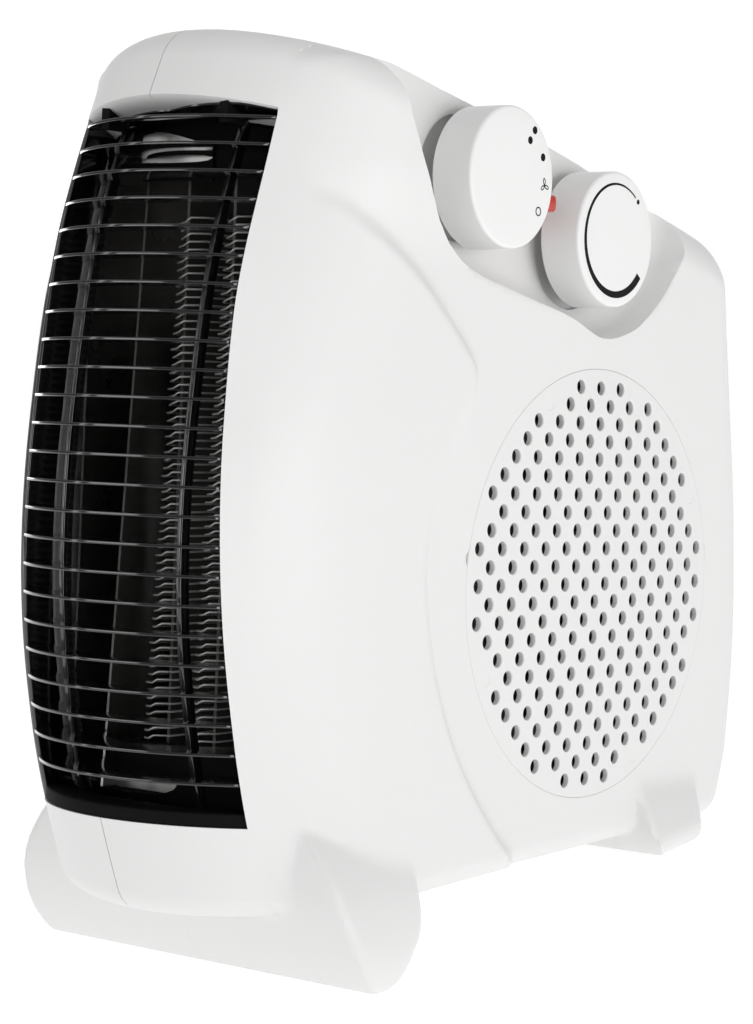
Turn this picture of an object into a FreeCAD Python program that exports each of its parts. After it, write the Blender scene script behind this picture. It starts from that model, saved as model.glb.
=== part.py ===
import FreeCAD, Part
import math, os

V = FreeCAD.Vector

# ---------------------------------------------------------------- driving dimensions (mm)
# Body frame: X = 0 is the seam between the two half shells (+X is the intake side),
# the intake disc is centred on Y = 0, Z = 0, the outlet faces -Y, Z runs up the body.
LEAN = 8.5            # the body leans back by this much on its feet, degrees
SHIFT_Y = 34.12       # placing of the finished part: box centre on Y = 0
HOLE_PITCH = 7.5      # distance between neighbouring intake holes
HOLE_R = 2.08         # intake hole radius
X_SIDE = 52.5         # flat side around the intake disc
X_FRONT = 55.5        # raised side near the outlet
X_CREASE = 47.0       # crease between side and outlet surround, low down
CREASE_IN = 3.0       # the crease draws in by this much towards the top
X_OPEN = 36.0         # half width of the outlet opening
R_PLAN = 50.8         # plan radius of the outlet front
Y_APEX, Z_APEX, R_PROF = -166.5, 23.0, 247.0   # front arc in side view
CROWN = 120.0         # crown radius of the top
WALL = 2.6            # shell thickness
X_FLOOR = 38.5        # floor of the knob recess
OPEN_TOP, OPEN_BOT = 128.0, -63.5
FLOOR_Y, FLOOR_Z = -107.0, -107.4   # a point where the front foot meets the ground
KNOB_R, KNOB_FACE, KNOB_BACK = 20.2, 56.5, 43.2
K1 = (-55.3, 115.3)   # mode switch axis (Y, Z)
K2 = (-1.3, 102.5)    # thermostat axis (Y, Z)
SPINDLE_R = 3.0
LENS = (-29.3, 110.7) # pilot lamp between the knobs (Y, Z)
LENS_Y, LENS_Z, LENS_FACE = 3.2, 2.5, 52.0   # half sizes of the lens and its outer face
DISC_R = 63.8         # intake disc radius
IMP_R, IMP_X0, IMP_X1 = 50.0, 4.0, 41.0
SHAFT_R = 2.0
SLAT_Z = [123.5 - 7.40 * k - 0.0098 * k * k for k in range(24)]   # heights of the slats
SLAT_T, SLAT_DEPTH = 1.2, 11.0
RIB_X = 21.5
POST_R = 59.3         # circle of the four disc posts
BOSSES = [(-88.0, 136.5), (-24.0, 121.5), (58.0, 84.0), (70.0, -66.0), (-76.0, -73.0)]
EAR_Z = (-20.0, 80.0)       # lugs that carry the heater frame
LUG_Z = (-40.0, 30.0, 100.0)  # lugs that carry the outlet grille
GLAND_R, GLAND_Z = 6.0, -48.0
CLAMP_POSTS = [(76.0, -38.0), (76.0, -58.0)]
SCROLL_POSTS = [(41.9, 41.9), (41.9, -41.9), (-41.9, 41.9), (-41.9, -41.9)]
DISC_POSTS = [(-5, 10), (10, 5), (5, -10), (-10, -5)]   # in half steps of the hole pattern
HOLE_ROWS = {11: (-2, 2), 10: (-3, 5), 9: (-6, 6), 8: (-7, 7), 7: (-8, 8), 6: (-9, 9), 5: (-10, 8), 4: (-9, 9), 3: (-10, 10),
             2: (-11, 11), 1: (-10, 10), 0: (-11, 11), -1: (-10, 10), -2: (-11, 11), -3: (-10, 10), -4: (-9, 9), -5: (-8, 10),
             -6: (-9, 9), -7: (-8, 8), -8: (-7, 7), -9: (-6, 6), -10: (-5, 3), -11: (-2, 2)}
MOTOR_SCREWS = [(21.0, -17.0), (-21.0, -17.0)]
BLADES = 28

TL = math.tan(math.radians(LEAN))


def floor_z(y):
    return FLOOR_Z + TL * (y - FLOOR_Y)


# ---------------------------------------------------------------- shape functions of the casing
def curve(xs, ys):
    """monotone cubic through points, straight beyond the ends"""
    n = len(xs)
    d = [(ys[i + 1] - ys[i]) / (xs[i + 1] - xs[i]) for i in range(n - 1)]
    m = [d[0]] + [0.0] * (n - 2) + [d[-1]]
    for i in range(1, n - 1):
        if d[i - 1] * d[i] > 0:
            m[i] = 2 * d[i - 1] * d[i] / (d[i - 1] + d[i])

    def f(t):
        if t <= xs[0]:
            return ys[0] + (t - xs[0]) * m[0]
        if t >= xs[-1]:
            return ys[-1] + (t - xs[-1]) * m[-1]
        i = 0
        while t > xs[i + 1]:
            i += 1
        h = xs[i + 1] - xs[i]
        u = (t - xs[i]) / h
        return ((1 + 2 * u) * (1 - u) ** 2 * ys[i] + u * (1 - u) ** 2 * h * m[i]
                + u * u * (3 - 2 * u) * ys[i + 1] + u * u * (u - 1) * h * m[i + 1])
    return f


TOP = curve([-170, -150, -140, -128, -112, -92, -80, -67, -55, -11.6, 5.7, 44.5, 59, 75, 95],
            [144, 146.5, 148.5, 150.2, 150.4, 149.2, 147.2, 144.8, 142.8, 134.5, 130.7, 120.8, 117.4, 112.8, 106])
REAR = curve([-110, -80, -71, -63, -53, -20, 19, 58, 80.7, 100.5, 112, 125],
             [76, 80, 83, 86, 89, 92, 89.6, 83.6, 79.8, 76.2, 74, 71])
CREASE_Y = curve([-110, -80, -49, -15, 28, 72, 125, 150], [-116, -121, -127, -133.2, -136, -132.9, -127.2, -124])
BELLY = curve([-130, -70, 16, 100], [-89.5, -84.6, -79.8, -75])


def sstep(x):
    x = max(0.0, min(1.0, x))
    return x * x * (3 - 2 * x)


def iround(a, b, r):
    u, v = max(a + r, 0.0), max(b + r, 0.0)
    return min(max(a, b), -r) + math.sqrt(u * u + v * v)


def x_crease(z):
    return X_CREASE - CREASE_IN * sstep((z - 30.0) / 95.0)


def front_y(ax, z):
    sag = (z - Z_APEX) ** 2 / (2 * R_PROF)
    y_edge = Y_APEX + sag + R_PLAN - math.sqrt(R_PLAN ** 2 - X_OPEN ** 2)
    a = min(ax, X_OPEN)
    inner = Y_APEX + sag + R_PLAN - math.sqrt(R_PLAN ** 2 - a * a)
    slope = max((CREASE_Y(z) - y_edge) / (x_crease(z) - X_OPEN), 0.35)
    return inner + max(ax - X_OPEN, 0.0) * slope


def lug_y(z):
    return front_y(35.6, z) + 10.0


def side_x(y, z):
    lvl = X_SIDE + (X_FRONT - X_SIDE) * sstep((-66.0 - y) / 22.0)
    t = max(0.0, min(1.4, (-92.0 - y) / (-92.0 - CREASE_Y(z))))
    return lvl - (X_FRONT - x_crease(z)) * t ** 1.6


def casing(ax, y, z):
    gf = (front_y(ax, z) - y) * 0.80
    gs = (ax - side_x(y, z)) * 0.97
    gt = (z - (TOP(y) - ax * ax / (2 * CROWN))) * 0.96
    gr = y - (REAR(z) + 3.0 * (1 - (ax / 52.5) ** 2))
    gb = BELLY(y) - z
    d = iround(gs, gf, 3.5)
    d = iround(d, gr, 13.0)
    d = iround(d, gt, 14.0)
    return iround(d, gb, 7.0)


def section_points(y, inset, n=28):
    """half outline of the casing at depth y, from the belly round the side to the top"""
    zc = 30.0
    raw = []
    for k in range(0, 161):
        a = -math.pi / 2 + math.pi * k / 160.0
        cx, cz = max(math.cos(a), 0.0), math.sin(a)
        lo, hi = 0.0, 260.0
        if casing(0.0, y, zc) + inset > 0:
            return None
        for _ in range(40):
            mid = 0.5 * (lo + hi)
            if casing(cx * mid, y, zc + cz * mid) + inset < 0:
                lo = mid
            else:
                hi = mid
        raw.append((cx * lo, zc + cz * lo))
    s = [0.0]
    for p, q in zip(raw, raw[1:]):
        s.append(s[-1] + math.hypot(q[0] - p[0], q[1] - p[1]))
    pts = []
    for k in range(n):
        t = s[-1] * k / (n - 1)
        i = 0
        while i < len(s) - 2 and s[i + 1] < t:
            i += 1
        u = (t - s[i]) / (s[i + 1] - s[i])
        pts.append((raw[i][0] + u * (raw[i + 1][0] - raw[i][0]), raw[i][1] + u * (raw[i + 1][1] - raw[i][1])))
    pts[0] = (0.0, pts[0][1])
    pts[-1] = (0.0, pts[-1][1])
    return pts


def half_casing(inset, levels):
    wires = []
    for y in levels:
        p = [V(x, y, z) for x, z in section_points(y, inset)]
        c = Part.BSplineCurve()
        c.interpolate(p)
        wires.append(Part.Wire([c.toShape(), Part.LineSegment(p[-1], p[0]).toShape()]))
    return Part.makeLoft(wires, True, True)


def box(x0, x1, y0, y1, z0, z1):
    return Part.makeBox(x1 - x0, y1 - y0, z1 - z0, V(x0, y0, z0))


def cyl_x(r, x0, x1, y, z):
    return Part.makeCylinder(r, x1 - x0, V(x0, y, z), V(1, 0, 0))


def cyl_y(r, y0, y1, x, z):
    return Part.makeCylinder(r, y1 - y0, V(x, y0, z), V(0, 1, 0))


def prism_x(yz, x0, x1, smooth=False):
    """outline in the Y-Z plane drawn out along X"""
    p = [V(x0, a, b) for a, b in yz]
    if smooth:
        c = Part.BSplineCurve()
        c.interpolate(p, PeriodicFlag=True)
        w = Part.Wire([c.toShape()])
    else:
        w = Part.makePolygon(p + [p[0]])
    return Part.Face(w).extrude(V(x1 - x0, 0, 0))


def spline_then_lines(first, tail, plane):
    """closed wire: a spline through the first points, then straight runs through the tail"""
    mk = (lambda a, b: V(0, a, b)) if plane == "yz" else (lambda a, b: V(a, 0, b))
    p = [mk(*q) for q in first]
    c = Part.BSplineCurve()
    c.interpolate(p)
    edges = [c.toShape()]
    t = [p[-1]] + [mk(*q) for q in tail] + [p[0]]
    for a, b in zip(t, t[1:]):
        edges.append(Part.LineSegment(a, b).toShape())
    return Part.Wire(edges)


def foot(front, rear, flare, z_top, d, y0, y1):
    """half of a full-width foot: side outline met with the flared front outline; d is an inset"""
    fr = [(a + d, b) for a, b in front]
    rr = [(a - d, b) for a, b in rear]
    base = [(fr[-1][0] + d * 0.3, floor_z(fr[-1][0]) + d), (rr[0][0] - d * 0.3, floor_z(rr[0][0]) + d)]
    c1 = Part.BSplineCurve()
    c1.interpolate([V(-5, a, b) for a, b in fr[:-1]] + [V(-5, *base[0])])
    c2 = Part.BSplineCurve()
    c2.interpolate([V(-5, *base[1])] + [V(-5, a, b) for a, b in rr[1:]])
    top_f, top_r = V(-5, fr[0][0], z_top), V(-5, rr[-1][0], z_top)
    e = [c1.toShape(), Part.LineSegment(V(-5, *base[0]), V(-5, *base[1])).toShape(), c2.toShape(),
         Part.LineSegment(V(-5, *rr[-1]), top_r).toShape(), Part.LineSegment(top_r, top_f).toShape(),
         Part.LineSegment(top_f, V(-5, *fr[0])).toShape()]
    a = Part.Face(Part.Wire(e)).extrude(V(80, 0, 0))
    fl = [(x - d, z) for x, z in flare]
    w = spline_then_lines(fl, [(-6, flare[-1][1]), (-6, flare[0][1])], "xz")
    b = Part.Face(w).extrude(V(0, y1 - y0 + 20, 0))
    b.translate(V(0, y0 - 10, 0))
    keep = box(0, 90, -200, 150, -150, 40)
    return a.common(b).common(keep)


FF_FRONT = [(-123.8, -74), (-123.0, -81), (-121.4, -87), (-119.0, -93), (-115.6, -99.5), (-112.4, -104), (-109.0, -107.7)]
FF_REAR = [(-100.0, -106.3), (-96.6, -103.6), (-94.0, -99.0), (-92.0, -92.5), (-90.4, -86), (-89.5, -79)]
FF_FLARE = [(40.0, -58), (48.5, -66), (51.4, -70), (54.4, -75), (57.0, -80), (58.9, -85), (60.4, -90), (61.6, -95), (62.3, -99.5), (62.0, -103), (60.2, -106.6), (57.0, -110)]
RF_FRONT = [(29.6, -62), (30.0, -68), (31.0, -74), (33.2, -80), (37.5, -85.8)]
RF_REAR = [(52.0, -84.0), (57.4, -80.6), (61.4, -75.5), (64.4, -69), (66.2, -62)]
RF_FLARE = [(42.0, -52), (49.4, -59.6), (52.3, -62.4), (54.6, -66.4), (57.2, -71.5), (59.4, -77), (60.6, -81), (60.4, -84), (58.6, -87)]
RECESS = [(-106, 168), (-101, 135), (-97, 122), (-92, 111.5), (-82, 97.5), (-68, 88.8), (-43.2, 83.4), (-18, 78.6), (0, 73.2),
          (14.6, 75.7), (24.4, 80.9), (33.5, 88.5), (41, 97.4), (45.0, 104), (45.5, 112), (44, 125), (42, 168)]


def grow(poly, d):
    """outline moved outward by d"""
    out = []
    n = len(poly)
    area = sum(poly[i][0] * poly[(i + 1) % n][1] - poly[(i + 1) % n][0] * poly[i][1] for i in range(n))
    sg = 1.0 if area > 0 else -1.0
    for i in range(n):
        (x0, y0), (x1, y1), (x2, y2) = poly[i - 1], poly[i], poly[(i + 1) % n]
        nx, ny = (y1 - y0) + (y2 - y1), -((x1 - x0) + (x2 - x1))
        ln = math.hypot(nx, ny)
        out.append((x1 + sg * d * nx / ln, y1 + sg * d * ny / ln))
    return out


LEVELS = [-151, -146, -139, -131, -122, -112, -98, -84, -66, -40, -10, 20, 42, 58, 69, 77, 83, 87.5, 91]
IN_LEVELS = [-148, -143, -136.5, -129, -120, -110, -96, -82, -64, -38, -8, 20, 42, 56, 66, 74, 80, 84.5, 88]

parts = {}


def mirrored(shape):
    return shape.mirror(V(0, 0, 0), V(1, 0, 0))


def housings():
    outer = half_casing(0.0, LEVELS)
    inner = half_casing(WALL, IN_LEVELS)
    ff = foot(FF_FRONT, FF_REAR, FF_FLARE, -58.0, 0.0, -125, -88)
    rf = foot(RF_FRONT, RF_REAR, RF_FLARE, -52.0, 0.0, 28, 68)
    ffi = foot(FF_FRONT, FF_REAR, FF_FLARE, -58.0, WALL, -125, -88)
    rfi = foot(RF_FRONT, RF_REAR, RF_FLARE, -52.0, WALL, 28, 68)
    solid = outer.fuse([ff, rf])
    hollow = inner.fuse([ffi, rfi])
    # outlet opening, in both halves
    mouth = box(-1.0, X_OPEN, -200, -100, OPEN_BOT, OPEN_TOP)
    gland = cyl_y(GLAND_R, 70, 110, 0, GLAND_Z)
    ears = [box(44.4, 60.0, -93.6, -91.2, z - 5, z + 5) for z in EAR_Z]
    ears += [box(36.8, 60.0, lug_y(z) + 3.1, lug_y(z) + 5.5, z - 4, z + 4) for z in LUG_Z]
    ear_holes = [cyl_y(1.3, -95, -90, 46.6, z) for z in EAR_Z]
    # right half: knob recess with its own floor and wall, screw bosses left standing in the hollow
    pocket = prism_x(RECESS, X_FLOOR, 75.0)
    lining = prism_x(grow(RECESS, WALL), X_FLOOR - WALL, 75.0)
    boss = [cyl_x(4.5, -1.0, 60.0, y, z) for y, z in BOSSES]
    space = hollow.cut([lining] + boss + ears)
    holes = [cyl_x(1.5, -1.0, 22.0, y, z) for y, z in BOSSES] + ear_holes
    holes += [cyl_x(62.0, 40.0, 75.0, 0, 0), cyl_x(DISC_R + 0.15, 50.9, 75.0, 0, 0)]
    holes += [cyl_x(SPINDLE_R + 0.8, 30.0, 45.0, *K1), cyl_x(SPINDLE_R + 0.8, 30.0, 45.0, *K2)]
    holes += [box(30.0, 45.0, LENS[0] - LENS_Y - 0.3, LENS[0] + LENS_Y + 0.3, LENS[1] - LENS_Z - 0.3, LENS[1] + LENS_Z + 0.3)]
    parts["right_housing"] = solid.cut([space, pocket, mouth, gland] + holes)
    # left half (made on the +X side, then mirrored): bosses, fan posts, clamp posts, terminal shelf
    posts = [cyl_x(4.0, 0.0, 60.0, y, z) for y, z in SCROLL_POSTS]
    posts += [cyl_x(3.0, 10.0, 60.0, y, z) for y, z in CLAMP_POSTS]
    shelf = box(30.2, 60.0, 52.0, 76.0, -34.0, -22.0)
    space = hollow.cut(boss + ears + posts + [shelf])
    holes = [cyl_x(1.9, -1.0, 70.0, y, z) for y, z in BOSSES] + [cyl_x(3.6, 14.0, 70.0, y, z) for y, z in BOSSES]
    holes += [cyl_x(1.3, -1.0, 16.0, y, z) for y, z in SCROLL_POSTS] + [cyl_x(1.2, 9.0, 22.0, y, z) for y, z in CLAMP_POSTS]
    parts["left_housing"] = mirrored(solid.cut([space, mouth, gland] + ear_holes + holes))


def one(shape):
    """a single solid out of a boolean result"""
    return shape.Solids[0] if len(shape.Solids) == 1 else shape


def outline(edges):
    return Part.Face(Part.Wire(edges))


def line(a, b):
    return Part.LineSegment(a, b).toShape()


def spline(points):
    c = Part.BSplineCurve()
    c.interpolate(points)
    return c.toShape()


# ---------------------------------------------------------------- outlet grille
def slat(z, t, off, depth, half):
    """one curved horizontal slat, its front edge following the front arc"""
    sag = (z - Z_APEX) ** 2 / (2 * R_PROF)
    z0 = z - t / 2

    def p(x, d):
        return V(x, Y_APEX + sag + R_PLAN - math.sqrt(R_PLAN ** 2 - x * x) + off + d, z0)
    e = [Part.Arc(p(-half, 0), p(0, 0), p(half, 0)).toShape(), line(p(half, 0), p(half, depth)),
         Part.Arc(p(half, depth), p(0, depth), p(-half, depth)).toShape(), line(p(-half, depth), p(-half, 0))]
    return outline(e).extrude(V(0, 0, t))


def upright(x0, x1, off, depth, z0, z1):
    """vertical bar that follows the front arc in side view"""
    xm = abs(0.5 * (x0 + x1))
    zs = [z0 + (z1 - z0) * k / 10.0 for k in range(11)]
    f = [V(x0, front_y(xm, z) + off, z) for z in zs]
    b = [V(x0, front_y(xm, z) + off + depth, z) for z in reversed(zs)]
    return outline([spline(f), line(f[-1], b[0]), spline(b), line(b[-1], f[0])]).extrude(V(x1 - x0, 0, 0))


def outlet_grille():
    half = X_OPEN - 0.4
    bars = [slat(z, SLAT_T, 1.0, SLAT_DEPTH, half) for z in SLAT_Z]
    bars += [slat(-61.4, 3.2, 1.6, 11.0, half)]
    rails = [upright(half - 1.8, half, 2.0, 10.6, -62.9, 124.0)]
    ribs = [upright(RIB_X - 0.8, RIB_X + 0.8, 11.2, 3.4, -62.9, 127.3)]
    lugs = [box(half - 1.0, 39.0, lug_y(z), lug_y(z) + 3.0, z - 3, z + 3) for z in LUG_Z]
    side = rails + ribs + lugs
    return bars[0].fuse(bars[1:] + side + [mirrored(s) for s in side])


# ---------------------------------------------------------------- intake disc
def intake_grille():
    disc = cyl_x(DISC_R, 50.9, 52.7, 0, 0)
    disc = disc.makeChamfer(0.4, [e for e in disc.Edges if abs(e.CenterOfMass.x - 52.7) < 1e-6 and len(e.Vertexes) == 1])
    q = HOLE_PITCH / math.sqrt(2)
    disc = disc.fuse([cyl_x(2.5, 44.2, 51.6, i * q, j * q) for i, j in DISC_POSTS])
    holes = []
    for j, (lo, hi) in HOLE_ROWS.items():
        holes += [cyl_x(HOLE_R, 48.0, 56.0, i * q, j * q) for i in range(lo, hi + 1) if (i + j) % 2]
    holes += [cyl_x(1.55, 44.0, 49.5, i * q, j * q) for i, j in DISC_POSTS]
    return disc.cut(Part.makeCompound(holes))


# ---------------------------------------------------------------- fan and motor
SPIRAL = [(-54, 42), (-38, 55), (-20, 64), (0, 67), (36, 59), (62, 34), (72, 0), (66, -34), (44, -60), (10, -73), (-30, -73),
          (-62, -67), (-88, -60)]


def fan_scroll():
    n = len(SPIRAL)
    off = []
    for i, (y, z) in enumerate(SPIRAL):
        a, b = SPIRAL[max(i - 1, 0)], SPIRAL[min(i + 1, n - 1)]
        ty, tz = b[0] - a[0], b[1] - a[1]
        ln = math.hypot(ty, tz)
        off.append((y - 1.8 * tz / ln, z + 1.8 * ty / ln))
    ins = [V(0, y, z) for y, z in SPIRAL]
    out = [V(0, y, z) for y, z in off]
    wall = outline([spline(ins), line(ins[-1], out[-1]), spline(out[::-1]), line(out[0], ins[0])]).extrude(V(46.0, 0, 0))
    lip = prism_x([(-54, 42), (-88, 74), (-87, 75.5), (-52.6, 43.4)], 0.0, 46.0)
    tip = V(0, -88, 74)
    plate = outline([spline(ins), line(ins[-1], tip), line(tip, ins[0])]).extrude(V(1.6, 0, 0))
    q = HOLE_PITCH / math.sqrt(2)
    cols = [cyl_x(3.2, 0.8, 44.2, i * q, j * q) for i, j in DISC_POSTS]
    cols += [cyl_x(1.5, 40.0, 49.0, i * q, j * q) for i, j in DISC_POSTS]
    cols += [cyl_x(3.5, -8.4, 0.8, y, z) for y, z in MOTOR_SCREWS]
    body = plate.fuse([wall, lip] + cols)
    holes = [cyl_x(9.0, -1.0, 3.0, 0, 0)] + [cyl_x(1.6, -1.0, 3.0, y, z) for y, z in SCROLL_POSTS]
    holes += [cyl_x(1.5, -9.0, -0.6, y, z) for y, z in MOTOR_SCREWS]
    return body.cut(holes)


def impeller():
    body = cyl_x(IMP_R, IMP_X0, IMP_X0 + 1.6, 0, 0)
    ring = cyl_x(IMP_R, IMP_X1 - 1.6, IMP_X1, 0, 0).cut(cyl_x(43.0, IMP_X1 - 3, IMP_X1 + 2, 0, 0))
    hub = cyl_x(7.0, IMP_X0 - 1.8, 14.0, 0, 0)
    blades = []
    for k in range(BLADES):
        b = Part.makeBox(IMP_X1 - IMP_X0 - 1.6, 12.4, 1.0, V(IMP_X0 + 0.8, -6.2, -0.5))
        b.rotate(V(0, 0, 0), V(1, 0, 0), 25)
        b.translate(V(0, 43.9, 0))
        b.rotate(V(0, 0, 0), V(1, 0, 0), 360.0 * k / BLADES)
        blades.append(b)
    return body.fuse([ring, hub] + blades).cut(cyl_x(SHAFT_R, -5.0, 20.0, 0, 0))


def motor():
    through = [cyl_x(1.6, -40.0, -5.0, y, z) for y, z in MOTOR_SCREWS]
    parts["motor_shaft"] = cyl_x(SHAFT_R, -36.0, 13.0, 0, 0)
    parts["motor_rotor"] = cyl_x(13.0, -25.5, -10.5, 0, 0).cut(cyl_x(SHAFT_R, -30, 0, 0, 0))
    core = box(-26.0, -10.0, -26.0, 26.0, -22.0, 44.0)
    parts["stator_core"] = core.cut([cyl_x(13.4, -30, 0, 0, 0), box(-30, 0, -14, 14, 20, 34)] + through)
    parts["motor_coil"] = box(-33.0, -3.0, -13.0, 13.0, 20.6, 54.0).cut(box(-26.1, -9.9, -20, 20, 33.9, 44.1))
    front = box(-10.0, -8.4, -26, 26, -22, 18).fuse(cyl_x(6.0, -9.0, -3.0, 0, 0))
    parts["motor_front_bracket"] = front.cut([cyl_x(4.5, -12, 0, 0, 0)] + through)
    rear = box(-27.6, -26.0, -26, 26, -22, 18).fuse(cyl_x(6.0, -33.0, -27.0, 0, 0))
    parts["motor_rear_bracket"] = rear.cut([cyl_x(4.5, -40, -20, 0, 0)] + through)
    for name, x0 in (("front_bearing", -8.2), ("rear_bearing", -32.6)):
        parts[name] = cyl_x(4.5, x0, x0 + 4.8, 0, 0).cut(cyl_x(SHAFT_R + 0.03, x0 - 1, x0 + 6, 0, 0))


def screw_x(head_r, shank_r, x_tip, x_seat, x_top, y, z):
    """screw along X: shank from tip to seat, head from seat to top"""
    a, b = sorted((x_tip, x_seat))
    c, d = sorted((x_seat, x_top))
    head = cyl_x(head_r, c, d, y, z)
    slot = box(min(x_top, x_top + (x_seat - x_top) * 0.4), max(x_top, x_top + (x_seat - x_top) * 0.4), y - 0.3, y + 0.3, z - 3, z + 3)
    return cyl_x(shank_r, a, b, y, z).fuse(head).cut(slot)


def screws():
    """identical screws are kept together, one group per use"""
    group = Part.makeCompound
    parts["housing_screws"] = group([screw_x(3.2, 1.45, 16.0, -14.0, -16.4, y, z) for y, z in BOSSES])
    parts["scroll_screws"] = group([screw_x(2.8, 1.25, -12.0, 1.6, 3.4, y, z) for y, z in SCROLL_POSTS])
    parts["motor_screws"] = group([screw_x(2.8, 1.45, -1.2, -27.6, -29.8, y, z) for y, z in MOTOR_SCREWS])
    parts["clamp_screws"] = group([screw_x(2.3, 1.15, -18.0, -7.0, -5.2, y, z) for y, z in CLAMP_POSTS])
    heater_screws = []
    for x in (-46.6, 46.6):
        for z in EAR_Z:
            s = cyl_y(1.25, -96.4, -91.2, x, z).fuse(cyl_y(2.3, -91.2, -89.5, x, z))
            heater_screws.append(s.cut(box(x - 3, x + 3, -90.2, -89.0, z - 0.3, z + 0.3)))
    parts["element_screws"] = group(heater_screws)


# ---------------------------------------------------------------- heater
def heater():
    frame = box(-44.0, 44.0, -120.0, -96.0, -60.0, 126.0).cut(box(-43.2, 43.2, -130, -90, -59.2, 125.2))
    tabs, holes = [], []
    for z in EAR_Z:
        for sx in (-1, 1):
            a, b = sorted((43.2 * sx, 44.0 * sx))
            tabs.append(box(a, b, -98.0, -93.6, z - 4, z + 4))
            a, b = sorted((43.2 * sx, 49.0 * sx))
            tabs.append(box(a, b, -94.4, -93.6, z - 4, z + 4))
            holes.append(cyl_y(1.3, -98, -90, 46.6 * sx, z))
    # an inner wall beside the windings and a flange at either end of the duct
    tabs.append(prism_x([(-117.1, 125.2), (-127.6, -59.6), (-97.0, -59.6), (-97.0, 125.2)], -24.4, -23.6))
    tabs.append(box(-24.0, 14.0, -121.0, -120.2, 113.0, 125.6))
    tabs.append(box(-24.0, 10.0, -121.0, -120.2, -59.6, -53.6))
    tabs.append(box(-24.0, 14.0, -121.0, -119.0, 125.2, 126.0))
    tabs.append(box(-24.0, 10.0, -121.0, -119.0, -60.0, -59.2))
    # the upper rear corner clears the knob recess
    holes.append(box(33.0, 50.0, -104.0, -90.0, 106.0, 130.0))
    parts["element_frame"] = frame.fuse(tabs).cut(holes)
    for name, x in (("low", -7.5), ("high", 9.5)):
        card = box(x - 0.5, x + 0.5, -119.0, -99.0, -59.2, 125.2)
        parts["mica_board_" + name] = card
        # the winding is a flat sleeve of wire round its board
        parts["heating_coil_" + name] = box(x - 6.0, x + 6.0, -122.0, -97.0, -46.0, 102.0).cut(
            box(x - 0.5, x + 0.5, -119.0, -99.0, -60, 130))
    parts["thermal_cutout"] = Part.makeCylinder(8.0, 5.0, V(25, -108, 120.2), V(0, 0, 1))
    parts["thermal_fuse"] = cyl_y(2.0, -116.0, -104.0, -33.0, 123.2)


# ---------------------------------------------------------------- controls
def knob(axis):
    y, z = axis
    body = cyl_x(KNOB_R, KNOB_BACK, KNOB_FACE, y, z)
    rim = [e for e in body.Edges if abs(e.CenterOfMass.x - KNOB_FACE) < 1e-6 and len(e.Vertexes) == 1]
    body = body.makeFillet(1.2, rim)
    body = body.cut(cyl_x(KNOB_R - 2.2, KNOB_BACK - 1, KNOB_FACE - 2.6, y, z))
    return body.fuse(cyl_x(6.5, KNOB_BACK + 1, KNOB_FACE - 2.0, y, z)).cut(cyl_x(SPINDLE_R, KNOB_BACK, KNOB_FACE - 4.0, y, z))


def controls():
    seat = X_FLOOR - WALL
    for name, k in (("switch", K1), ("thermostat", K2)):
        parts[name + "_knob"] = knob(k)
        parts[name + "_spindle"] = cyl_x(SPINDLE_R, 22.0, KNOB_FACE - 4.0, *k)
    bore = cyl_x(SPINDLE_R + 0.05, 20.0, 60.0, *K1)
    parts["rotary_switch"] = box(14.0, seat, K1[0] - 14, K1[0] + 14, K1[1] - 14, K1[1] + 14).cut(bore)
    bore = cyl_x(SPINDLE_R + 0.05, 20.0, 60.0, *K2)
    parts["thermostat"] = box(16.0, seat, K2[0] - 15, K2[0] + 15, K2[1] - 13, K2[1] + 11).cut(bore)
    z = K2[1] - 13
    parts["thermostat_bimetal"] = box(20, 28, -36, 12, z - 2.4, z - 1.6).fuse(box(20, 28, 6, 12, z - 1.8, z))
    y, z = LENS
    lens = box(seat - 1, LENS_FACE, y - LENS_Y, y + LENS_Y, z - LENS_Z, z + LENS_Z)
    lens = lens.makeFillet(1.2, [e for e in lens.Edges if abs(e.CenterOfMass.x - 0.5 * (seat - 1 + LENS_FACE)) < 1e-6])
    lens = lens.fuse(box(seat - 1.9, seat, y - 4.6, y + 4.6, z - 3.8, z + 3.8))
    parts["pilot_lens"] = lens.cut(cyl_x(1.9, seat - 3, LENS_FACE - 6.0, y, z))
    parts["neon_lamp"] = cyl_x(1.85, 24.0, LENS_FACE - 6.5, y, z)


# ---------------------------------------------------------------- supply and wiring
def run(points, r):
    """a wire through the points"""
    segs = []
    for a, b in zip(points, points[1:]):
        a, b = V(*a), V(*b)
        segs.append(Part.makeCylinder(r, (b - a).Length, a, b - a))
    balls = [Part.makeSphere(r, V(*p)) for p in points[1:-1]]
    return segs[0].fuse(segs[1:] + balls)


def supply():
    parts["terminal_block"] = box(-30.2, -16.0, 53.0, 75.0, -33.0, -23.0)
    g = cyl_y(GLAND_R - 0.05, 84.0, 94.0, 0, GLAND_Z)
    g = g.fuse([cyl_y(8.0, 91.1, 94.0, 0, GLAND_Z), cyl_y(8.0, 84.0, 87.8, 0, GLAND_Z)])
    parts["cord_gland"] = g.cut(cyl_y(3.6, 80, 100, 0, GLAND_Z))
    c = box(-10.0, -7.0, 73.0, 79.0, -62.0, -34.0)
    parts["cord_clamp"] = c.cut([cyl_x(1.2, -12, 0, y, z) for y, z in CLAMP_POSTS])
    parts["live_wire"] = run([(-20, 66, -23), (-20, 66, 95), (-20, -30, 98), (4, -50, 108), (14, -50, 108)], 1.0)
    parts["neutral_wire"] = run([(-26, 70, -23), (-26, 70, 99), (-26, -30, 104), (4, -60, 118), (14, -60, 118)], 1.0)
    parts["element_wire"] = run([(14, -64, 106), (9, -64, 106), (5, -74, 112), (20, -90, 121), (25, -99.2, 122.5)], 1.0)


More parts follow.
